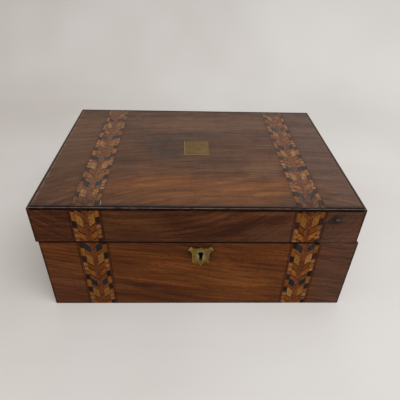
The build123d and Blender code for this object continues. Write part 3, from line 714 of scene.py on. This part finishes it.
# %% [markdown]
# Each CAD piece now gets its finish by name. Boards whose grain runs front to back take the material turned
# that way, as a joiner would cut them.
# %% Dress the CAD pieces
finishes = {
    top_walnut: ["lid_top_veneer"],
    lid_front_walnut: ["lid_front_veneer"],
    base_front_walnut: ["base_front_veneer"],
    side_walnut: ["base_side_veneers", "lid_side_veneers"],
    back_walnut: ["base_back_veneer", "lid_back_veneer"],
    rim_walnut: ["base_rim_facing", "lid_rim_facing"],
    bead_finish: ["lid_edge_bead"],
    case_x: [
        "base_front_board", "base_back_board", "base_bottom_board",
        "lid_front_board", "lid_back_board", "lid_top_board"
    ],
    case_y: ["base_left_board", "base_right_board", "lid_left_board", "lid_right_board"],
    mahogany_x: [
        "compartment_divider", "pen_tray", "base_flap_board", "lid_flap_board",
        "base_flap_bearers", "lid_flap_bearers"
    ],
    mahogany_y: ["pen_tray_ledges", "inkwell_platforms"],
    mahogany_z: ["inkwell_partitions"],
    steel: ["lock_case", "lock_bolt"],
    lock_brass: ["escutcheon"],
    glass: ["left_inkwell", "right_inkwell"],
}
dressed = {name for names in finishes.values() for name in names}
finishes[brass] = [name for name in frame["nodes"] if name not in dressed]
for finish, names in finishes.items():
    for name in names:
        mesh = frame["nodes"][name].data
        mesh.materials.clear()
        mesh.materials.append(finish)
print("dressed", len(dressed), "wood, glass and steel pieces and", len(finishes[brass]), "brass ones")

# %% [markdown]
# No edge on an old box is razor sharp, and a sharp edge catches no light. A bevel modifier rounds every edge
# where two faces meet at a clear angle. The CAD meshes are loose triangles, so a weld modifier joins their
# corners first. Both stay modifiers, because the frame's own meshes are not to be changed.
# %% Soften the edges


def soften(piece, width, degrees):
    """A bevel on every edge where two faces meet at more than so many degrees."""
    bevel = piece.modifiers.new("soft_edges", "BEVEL")
    bevel.width = width
    bevel.segments = 2
    bevel.limit_method = "ANGLE"
    bevel.angle_limit = math.radians(degrees)
    return bevel


soft_finishes = [top_walnut, lid_front_walnut, base_front_walnut, side_walnut, back_walnut, rim_walnut]
soft_finishes += [case_x, case_y, mahogany_x]
soft_woods = [name for finish in soft_finishes for name in finishes[finish]]
soft_metals = [
    "escutcheon", "lock_selvedge", "link_plate", "lid_hinge_leaves", "base_hinge_leaves", "turn_button"
]
for names, width in ((soft_woods, 0.22 * MM), (soft_metals, 0.12 * MM)):
    for name in names:
        weld = frame["nodes"][name].modifiers.new("join_triangles", "WELD")
        weld.merge_threshold = 0.002 * MM
        soften(frame["nodes"][name], width, 40)
print("softened", len(soft_woods) + len(soft_metals), "pieces")

# %% [markdown]
# The bands are parquetry: hundreds of chips of veneer, each sawn on a slant and laid against its neighbour so
# that they point like an arrow. A band has a middle column, two inner columns of long lozenges and two outer
# columns of short ones. One chip of each kind is modelled, and copies of it are laid down the band, as the
# maker did. A texture could draw the same picture, but real chips keep their sharp joints in close views.
# %% Woods of the chips


def chip_wood(name, dark, light, shine, dirt, dirt_scale, marks=()):
    """Each chip has its own tint, a number stored on its points, so that no two look the same."""
    material, coords = start_material(name)
    fibres = noise(stretched(coords, (900.0, 900.0, 120.0)), 1.0, 4.0, 0.6)
    tint = material.node_tree.nodes.new("ShaderNodeAttribute")
    tint.attribute_name = "tint"
    value = calculate("MULTIPLY_ADD", fibres, 0.5, tint.outputs["Fac"])
    colour = ramp(value, [(0.2, dark), (0.85, light)])
    mottle = span(noise(coords, 700.0, 4.0, 0.75), 0.42, 0.68)
    colour = tinted(colour, mottle, 0.4, darker(dark, 0.4))
    speckle = noise(coords, dirt_scale, 3.0, 0.7)
    speckle = ramp(speckle, [(0.38, grey(0.5 - dirt)), (0.62, grey(0.5 + dirt))])
    colour = marked(coords, mixed(1.0, colour, speckle, "OVERLAY"), marks)
    return finish_material(material, {
        # The saw cut is darkened on the chips too: dirt and painted shade.
        "Base Color": tinted(colour, nearness(coords, **saw_cut), 0.95, dark_dirt_and_shade),
        "Normal": bumps(fibres, 0.2, 0.0002),
        "Roughness": 0.38,
        "Specular IOR Level": shine,
    })


chip_tones = {
    "ebony": ((0.013, 0.011, 0.010), (0.030, 0.029, 0.030)),
    "bog": ((0.015, 0.007, 0.004), (0.040, 0.018, 0.010)),
    "box": ((0.180, 0.074, 0.013), (0.305, 0.139, 0.041)),
    "satin": ((0.145, 0.043, 0.007), (0.265, 0.090, 0.016)),
    "padauk": ((0.110, 0.030, 0.005), (0.185, 0.056, 0.010)),
    "king": ((0.038, 0.010, 0.003), (0.085, 0.025, 0.006)),
    "tulip": ((0.145, 0.055, 0.026), (0.270, 0.115, 0.058)),
    "copper": ((0.090, 0.026, 0.009), (0.165, 0.048, 0.018)),
}
# The top's chips are greyed toward a pale grey-brown: partly fading, partly a painted sheen.
faded_and_sheen_grey = Vector((0.165, 0.110, 0.078))
worn_ends = [
    ((0.060, 0.034, 0.026), 0.6, on_top(0, 127, 300, 26)),
    (stain_tone, 0.6, plane_at("Y", -0.1235, 0.004, 0.028, 0.010)),
]
chip_woods = {}
for wood_name, tones in chip_tones.items():
    chip_woods["front", wood_name] = chip_wood(wood_name + "_chips_of_the_fronts", *tones, 0.03, 0.16, 600.0)
    fade_and_sheen = 0.12 if wood_name in ("ebony", "bog") else 0.26
    faded_and_sheen_tones = [tuple(Vector(tone).lerp(faded_and_sheen_grey, fade_and_sheen)) for tone in tones]
    top_name = wood_name + "_chips_of_the_top"
    chip_woods["top", wood_name] = chip_wood(top_name, *faded_and_sheen_tones, 0.2, 0.26, 450.0, worn_ends)
print("chip woods:", len(chip_tones), "on two faces each")

# %% [markdown]
# Chips, strips, plates and leather are all sheets, and they start alike: a plane is pulled to its width and
# length, moved to its place, shaped, and extruded to its thickness. The extruded faces may point inwards, so
# they are made consistent at once. The top edges are bevelled a hair.
# %% Helpers for sheets


def start_sheet(name, size, middle, primitive=bpy.ops.mesh.primitive_plane_add, **settings):
    piece = start_piece(name, primitive, size=1.0, **settings)
    everything(piece)
    bpy.ops.transform.resize(value=(*size, 1.0))
    bpy.ops.transform.translate(value=middle)
    return piece


def thicken(piece, way):
    everything(piece)
    bpy.ops.mesh.extrude_region_move(TRANSFORM_OT_translate={"value": way})
    everything(piece)
    bpy.ops.mesh.normals_make_consistent(inside=False)


def soften_top(piece, thickness, width):
    choose(piece, "edges", lambda point: point.z > 0.9 * thickness)
    bpy.ops.mesh.bevel(offset=width, segments=1)
    take(piece)


print("sheet helpers ready")

# %% [markdown]
# A chip starts as a plane. Its outer end is pushed up the band to slant it, it is extruded to the thickness
# of the veneer, and its top edge is bevelled, so that a line of light and shade marks each joint. A column is
# given by its near and far side, in millimetres from the middle of the band, and by its slant. A run is the
# order of the woods in a column, each with its length in millimetres.
# %% One chip of each kind
glue = 0.16 * MM
chip_thickness = 0.8 * MM
chip_edge = 0.07 * MM
columns = {"middle": (0.0, 3.1, 0.9), "inner": (3.1, 9.7, 0.87), "outer": (9.9, 14.5, 0.3)}
inner_run = [
    ("ebony", 10.4), ("tulip", 0.9), ("padauk", 4.7), ("box", 13.0), ("king", 1.6), ("padauk", 7.8),
    ("king", 1.6), ("satin", 8.0), ("king", 1.6), ("padauk", 4.9), ("tulip", 0.9)
]
outer_run = [
    ("satin", 12.0), ("bog", 8.5), ("king", 0.8), ("padauk", 1.3), ("tulip", 4.8), ("padauk", 2.2),
    ("box", 4.8), ("padauk", 2.2), ("tulip", 4.1), ("king", 0.8), ("bog", 8.5)
]
middle_run = [("copper", 9.0), ("padauk", 3.2), ("copper", 7.6), ("king", 0.6), ("copper", 7.6)]
runs = {"middle": middle_run, "inner": inner_run, "outer": outer_run}
step_between_sides = {"middle": 0.0, "inner": -0.8, "outer": -2.75}
chip_kinds = {}


def chip(face, side, column, wood_name, length):
    key = (face, side, column, wood_name, length)
    if key in chip_kinds:
        return chip_kinds[key]
    near, far, slant = columns[column]
    near, far = near * MM, far * MM
    middle = side * (near + far) / 2
    rise = slant * (far - near) / 2
    size = (far - near - glue, length * MM - glue)
    piece = start_sheet("chip_" + column + "_" + wood_name, size, (middle, 0.0, 0.0))
    choose(piece, "verts", lambda point: abs(point.x) > abs(middle))
    bpy.ops.transform.translate(value=(0.0, rise, 0.0))
    choose(piece, "verts", lambda point: abs(point.x) < abs(middle))
    bpy.ops.transform.translate(value=(0.0, -rise, 0.0))
    thicken(piece, (0.0, 0.0, chip_thickness))
    soften_top(piece, chip_thickness, chip_edge)
    piece.data.materials.append(chip_woods[face, wood_name])
    chip_kinds[key] = piece
    return piece


print("columns:", list(columns), "with", [len(run) for run in runs.values()], "chips in a run")

# %% [markdown]
# Laying a band: every column is filled from its own starting point, because in the real box the outer
# columns repeat a little faster than the inner ones. The bed under the chips is dark glue, and a dark line
# of stringing closes each side. Then the band is trimmed to length with a bisect at each end. Sizes are in
# millimetres here.
# %% Lay a band
band_width, bed_thickness = 30.0, 0.72
line_width, line_thickness, line_across = 0.42, 0.97, 14.76
line_woods = {"top": "king", "front": "bog"}
chip_lift = 0.2
overrun = 12.0  # how far the chips run past both ends before the trim


def lay_band(name, face, length, starts, periods, lightest):
    """A flat band: its width along X, its length down -Y from 0, its face up. starts: where a run's first
    chip has its middle, for each column. periods: the length of each column's run on this band. lightest:
    the lightest tint that a chip may have."""
    pieces = []
    for column, run in runs.items():
        period = periods[column]
        stretch = period / sum(size for wood_name, size in run)
        for side in (-1, 1):
            at = starts[column] - run[0][1] * stretch / 2 + side * step_between_sides[column]
            at -= period * math.ceil((at + overrun) / period)
            index = 0
            while at < length + overrun:
                wood_name, size = run[index % len(run)]
                place = (0.0, -(at + size * stretch / 2) * MM, chip_lift * MM)
                laid = copy_piece(chip(face, side, column, wood_name, size * stretch), place)
                tint = laid.data.attributes.new("tint", "FLOAT", "POINT")
                tint.data.foreach_set("value", [chance.uniform(0.0, lightest)] * len(laid.data.vertices))
                pieces.append(laid)
                at += size * stretch
                index += 1
    take(*pieces)
    bpy.ops.object.join()
    band = settle(bpy.context.object)
    band.name = band.data.name = name
    return band


def trim(piece, point, outwards):
    """Cut off what lies beyond a plane, then close each cut chip by itself."""
    everything(piece)
    bpy.ops.mesh.bisect(plane_co=point, plane_no=outwards, clear_outer=True)
    everything(piece)
    bpy.ops.mesh.fill_holes(sides=0)
    take(piece)


def strip(name, width, length, thickness, finish, across=0.0):
    """A long thin strip with softened edges, laid as a band is."""
    piece = start_sheet(name, (width * MM, length * MM), (across * MM, -length * MM / 2, 0.0))
    thicken(piece, (0.0, 0.0, thickness * MM))
    soften_top(piece, thickness * MM, 0.1 * MM)
    piece.data.materials.append(finish)
    return piece


glue_bed, glue_coords = start_material("dark_glue_bed")
glue_cloud = noise(glue_coords, 300.0)
glue_colour = ramp(glue_cloud, [(0.4, (0.012, 0.007, 0.005)), (0.7, (0.035, 0.018, 0.011))])
finish_material(glue_bed, {"Base Color": glue_colour, "Roughness": 0.6})


def band(name, face, length, starts, periods, lightest=0.6):
    chips = lay_band(name, face, length, starts, periods, lightest)
    trim(chips, (0, 0, 0), (0, 1, 0))
    trim(chips, (0, -length * MM, 0), (0, -1, 0))
    bed = strip(name + "_bed", band_width, length, bed_thickness, glue_bed)
    line = (name + "_line", line_width, length, line_thickness, chip_woods[face, line_woods[face]])
    lines = [strip(*line, side * line_across) for side in (-1, 1)]
    take(chips, bed, *lines)
    bpy.ops.object.join()
    return chips


print("a band is", band_width, "mm wide, of", 2 * len(runs), "columns")

# %% [markdown]
# Two bands run over the top from back to front, and both run on down the front. The front ones stop at the
# slanted saw cut: the base has one part of each band and the lid the other, and they ride on their bodies.
# The upper chips are cut on the cut's own slope.
# %% Lay the six bands
top_back, top_length = 0.12275, 245.5
veneer = 1.0 * MM
half_cut = 0.2 * MM
to_front = Matrix.Rotation(math.pi / 2, 4, "X")


def finish_band(piece, place, body, *nodes):
    piece.matrix_world = place
    settle(piece)
    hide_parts(*nodes)
    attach(piece, body)


top_starts = [{"middle": 5.0, "inner": 35.7, "outer": 30.0}, {"middle": 9.0, "inner": 3.8, "outer": 30.0}]
top_periods = [{"middle": 28.0, "inner": 56.0, "outer": 50.6}, {"middle": 28.0, "inner": 54.8, "outer": 49.6}]
for index, side in enumerate(("left", "right")):
    laid = band("lid_top_parquetry_" + side, "top", top_length, top_starts[index], top_periods[index], 0.8)
    place = Matrix.Translation((lid_xs[index], top_back, top_z - veneer))
    finish_band(laid, place, "lid", "lid_top_bands")

front_starts = {"middle": 4.0, "inner": 109.4, "outer": 108.2}
front_periods = {"middle": 28.0, "inner": 55.4, "outer": 50.0}
# The left front bands get darker chips than the right ones: painted shade, since the light falls from the
# right.
front_lightest_shaded_left = (0.35, 0.6)
# top: the upper end. passed: how much of the runs lies above it. away: from the cut toward the waste.
halves = {
    "lid": {"xs": lid_xs, "top": 0.14375, "length": 46.0, "passed": 3.25, "away": -upwards},
    "base": {"xs": base_xs, "top": 0.1012, "length": 101.2, "passed": 45.8, "away": upwards},
}
for index, side in enumerate(("left", "right")):
    for half, part in halves.items():
        starts = {column: start - part["passed"] for column, start in front_starts.items()}
        name = half + "_front_parquetry_" + side
        laid = band(name, "front", part["length"], starts, front_periods, front_lightest_shaded_left[index])
        place = Matrix.Translation((part["xs"][index], front_y + veneer, part["top"])) @ to_front
        finish_band(laid, place, half, half + "_front_bands")
        trim(laid, pin - part["away"] * half_cut, part["away"])
for piece in chip_kinds.values():
    bpy.data.objects.remove(piece)
laid_bands = [o for o in bpy.data.objects if "parquetry" in o.name]
print("bands:", {o.name: len(o.data.polygons) for o in laid_bands})

# %% [markdown]
# A plain brass plate is pinned to the middle of the lid. It was cut by hand, a little narrower toward the
# front, its corners are slightly rounded, and one corner has sprung up from the wood. The plane is cut into a
# grid, so that the sides can taper row by row and the corner can bend smoothly.
# %% Name plate
plate_low, plate_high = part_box("name_plate")
plate_size = plate_high - plate_low
plate_foot, plate_thickness = 0.14702, 0.28 * MM
front_share, back_share = 0.94, 0.98
corner_radius, spring = 0.9 * MM, 0.055 * MM
plate_rows = 12
plate_middle = ((plate_low.x + plate_high.x) / 2, (plate_low.y + plate_high.y) / 2, plate_foot)
plate = start_sheet(
    "brass_name_plate", plate_size.xy, plate_middle, bpy.ops.mesh.primitive_grid_add,
    x_subdivisions=plate_rows, y_subdivisions=plate_rows
)
for row in range(plate_rows + 1):
    row_y = plate_low.y + plate_size.y * row / plate_rows
    choose(plate, "verts", lambda point: abs(point.y - row_y) < 0.5 * MM)
    share = front_share + (back_share - front_share) * row / plate_rows
    bpy.ops.transform.resize(value=(share, 1.0, 1.0))
thicken(plate, (0.0, 0.0, plate_thickness))
sprung = Vector((plate_high.x - 0.3 * MM, plate_high.y))
for reach in (13.0, 9.0, 5.0):
    choose(plate, "verts", lambda point: (point.xy - sprung).length < reach * MM)
    bpy.ops.transform.translate(value=(0.0, 0.0, spring))
corners = [Vector((x, y)) for x in (plate_low.x, plate_high.x) for y in (plate_low.y, plate_high.y)]
choose(plate, "edges", lambda point: min((point.xy - corner).length for corner in corners) < 1.1 * MM)
bpy.ops.mesh.bevel(offset=corner_radius, segments=4)
take(plate)
bpy.ops.object.modifier_apply(modifier=soften(plate, 0.08 * MM, 50).name)
plate.data.materials.append(plate_brass)
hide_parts("name_plate")
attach(plate, "lid")
print("name plate:", [round(v / MM, 1) for v in plate_size], "mm")

# %% [markdown]
# Near the right end of the lid's front an old screw hole has been filled. The filling stands a hair proud of
# the veneer and has shrunk, so it is a low dome with a ring round it. It starts as a disc inside the veneer,
# is extruded into a plug, and insets of its front face draw the ring and the dome.
# %% Filled hole
plug_x, plug_z = 0.144, 0.133
plug_middle = Vector((plug_x, plug_z))
plug = start_piece(
    "filled_hole", bpy.ops.mesh.primitive_circle_add, vertices=40, radius=4.2 * MM, fill_type="NGON",
    location=(plug_x, -0.1254, plug_z), rotation=(math.pi / 2, 0.0, 0.0)
)
thicken(plug, (0.0, -0.58 * MM, 0.0))
for inset, out in ((0.5, 0.12), (1.3, 0.10), (0.5, -0.08), (1.0, 0.05)):
    choose(plug, "faces", lambda at, normal: normal.y < -0.5 and (at.xz - plug_middle).length < 0.05 * MM)
    bpy.ops.mesh.inset(thickness=inset * MM)
    bpy.ops.transform.translate(value=(0.0, -out * MM, 0.0))
filling, filling_coords = start_material("pale_filling")
filling_place = {"centre": (0.1445, front_y, 0.1335), "radii": (0.0036, flat, 0.0032), "scale": 300.0}
filling_share = patch(filling_coords, **filling_place)
filling_colour = mixed(filling_share, (0.012, 0.008, 0.007), (0.062, 0.046, 0.036))
finish_material(filling, {"Base Color": filling_colour, "Roughness": 0.6, "Specular IOR Level": 0.1})
take(plug)
plug.data.materials.append(filling)
bpy.ops.object.shade_smooth_by_angle(angle=math.radians(50))
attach(plug, "lid")
print("filled hole, faces:", len(plug.data.polygons))

# %% [markdown]
# Both flaps carry a sheet of leather. It starts as a plane of the leather's size. Three insets draw the
# border: a margin, a broad gilt line, a gap and a fine line. Then it is extruded to its thickness and turned
# onto the slope of the cut. The lid's sheet faces down while the box is shut.
# %% Leather sheets
to_slope = Matrix.Translation(pin) @ Matrix.Rotation(-slope, 4, "X")
leather_width, leather_thickness = 298.3 * MM, 0.7 * MM
face_from_cut = 2.02 * MM
near_end = -37.9
margin, broad_line, gap, fine_line = 7.0, 1.1, 1.6, 0.5


def leather_sheet(half, across, far_end, side):
    """across: the sheet's middle. Its ends are measured down the slope from the hinge pins, all in
    millimetres. side: 1 above the saw cut and -1 below it."""
    length = (near_end - far_end) * MM
    centre = Vector((across, (near_end + far_end) / 2)) * MM
    piece = start_sheet(half + "_leather_sheet", (leather_width, length), (*centre, 0.0))
    for inset in (margin, broad_line, gap, fine_line):
        choose(piece, "faces", lambda point, normal: (point.xy - centre).length < 0.1 * MM)
        bpy.ops.mesh.inset(thickness=inset * MM)
    take(piece)
    piece.data.materials.append(leather)
    piece.data.materials.append(gilt)
    fine_from = margin + broad_line + gap
    for face in piece.data.polygons:
        off = face.center.xy - centre
        inward = min(leather_width / 2 - abs(off.x), length / 2 - abs(off.y)) / MM
        if margin < inward < margin + broad_line or fine_from < inward < fine_from + fine_line:
            face.material_index = 1
    thicken(piece, (0.0, 0.0, leather_thickness))
    take(piece)
    lift = side * face_from_cut - (leather_thickness if side < 0 else 0.0)
    piece.matrix_world = to_slope @ Matrix.Translation((0.0, 0.0, lift))
    settle(piece)
    bpy.ops.object.modifier_apply(modifier=soften(piece, 0.2 * MM, 30).name)
    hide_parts(half + "_flap_leather")
    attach(piece, half + "_flap")
    return piece


base_leather = leather_sheet("base", 0.0, -180.2, -1)
lid_leather = leather_sheet("lid", -2.7, -218.9, 1)
print("leather faces:", len(base_leather.data.polygons), len(lid_leather.data.polygons))

# %% [markdown]
# The box needs ground to stand on, or it would cast no shadow. The stage is one pale sheet: a floor, a wide
# bend and a wall, so that no line shows. It carries no pattern that belongs to the object.
# %% Floor and backdrop


def stage_finish():
    material, coords = start_material("pale_sheet")
    soft = noise(coords, 3.0, 2.0)
    # The sheet is painted lighter toward the right: painted light falling from that side.
    to_right = add("SeparateXYZ", {"Vector": coords})
    drift = calculate("MULTIPLY_ADD", to_right, 0.55, soft)
    folds = noise(stretched(coords, (1.0, 2.2, 1.0)), 4.0, 3.0)
    return finish_material(material, {
        "Base Color": ramp(drift, [(0.2, (0.60, 0.57, 0.545)), (0.8, (0.70, 0.69, 0.68))]),
        "Roughness": 0.95,
        "Specular IOR Level": 0.1,
        "Normal": bumps(folds, 0.25, 0.01),
    })


floor_size, wall_y, wall_height, bend = (40.0, 20.75), 0.75, 3.0, 0.28
near_wall = wall_y - 0.05
stage = start_sheet("floor_and_backdrop", floor_size, (0.0, wall_y - floor_size[1] / 2, -0.0002))
choose(stage, "edges", lambda point: point.y > near_wall)
bpy.ops.mesh.extrude_region_move(TRANSFORM_OT_translate={"value": (0.0, 0.0, wall_height)})
choose(stage, "edges", lambda point: point.y > near_wall and point.z < 0.01)
bpy.ops.mesh.bevel(offset=bend, segments=16)
take(stage)
stage.data.materials.append(stage_finish())
bpy.ops.object.shade_smooth()
print("stage faces:", len(stage.data.polygons))

# %% [markdown]
# The light in the photograph is soft and comes from all round, a little more from the right and in front, so
# there is hardly a shadow before the box. A pale world gives the fill, and one large lamp above the rest.
# %% Light
world = bpy.data.worlds.new("soft_daylight")
bpy.context.scene.world = world
world.use_nodes = True
sky = world.node_tree.nodes["Background"]
sky.inputs["Color"].default_value = (1.0, 0.99, 0.975, 1.0)
sky.inputs["Strength"].default_value = 0.60
lamp_data = bpy.data.lights.new("overhead_lamp", "AREA")
lamp_data.shape = "RECTANGLE"
lamp_data.size, lamp_data.size_y = 1.6, 1.2
lamp_data.energy = 22.0
lamp_data.color = (1.0, 0.985, 0.96)
lamp = bpy.data.objects.new("overhead_lamp", lamp_data)
bpy.context.scene.collection.objects.link(lamp)
lamp.location = (0.45, -0.85, 1.6)
lamp.rotation_euler = (-Vector(lamp.location)).to_track_quat("-Z", "Y").to_euler()
bpy.context.scene.view_settings.view_transform = "Standard"
print("lamp energy:", lamp_data.energy, "W")
